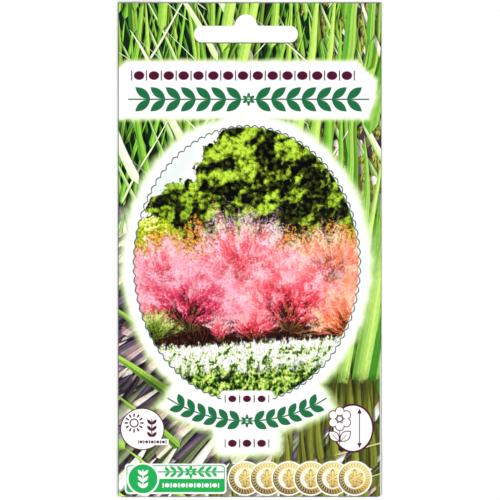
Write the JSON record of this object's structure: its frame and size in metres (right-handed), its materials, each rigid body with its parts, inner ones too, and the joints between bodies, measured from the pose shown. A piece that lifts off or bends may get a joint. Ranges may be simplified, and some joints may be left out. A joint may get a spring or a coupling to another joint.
{
  "type": "seed packet",
  "caption": "Flat folded paper seed packet with a glued side seam, a turned-up bottom flap, a punched hanging slot in the header and loose grass seeds inside.",
  "frame": {"origin": "centre of the packet's outline, on the plane of its back", "axes": "+Y along the packet's height towards the hanging slot, +X across its width, +Z out of the printed front"},
  "size_m": [0.08, 0.15, 0.0018],
  "materials": {
    "coated_paper": "semi-gloss coated and printed outside, matte white inside and at the cut edges",
    "glue": "thin dried paper glue, slightly glossy",
    "seed_husk": "dry ribbed grass husk, matte"
  },
  "bodies": {
    "root": {"packet_sheet": "coated_paper", "side_seam_glue": "glue", "bottom_flap_glue": "glue", "header_glue": "glue", "seed_01": "seed_husk", "seed_02": "seed_husk", "seed_03": "seed_husk", "seed_04": "seed_husk", "seed_05": "seed_husk", "seed_06": "seed_husk", "seed_07": "seed_husk", "seed_08": "seed_husk", "seed_09": "seed_husk", "seed_10": "seed_husk", "seed_11": "seed_husk", "seed_12": "seed_husk", "seed_13": "seed_husk", "seed_14": "seed_husk", "seed_15": "seed_husk"}
  },
  "joints": []
}
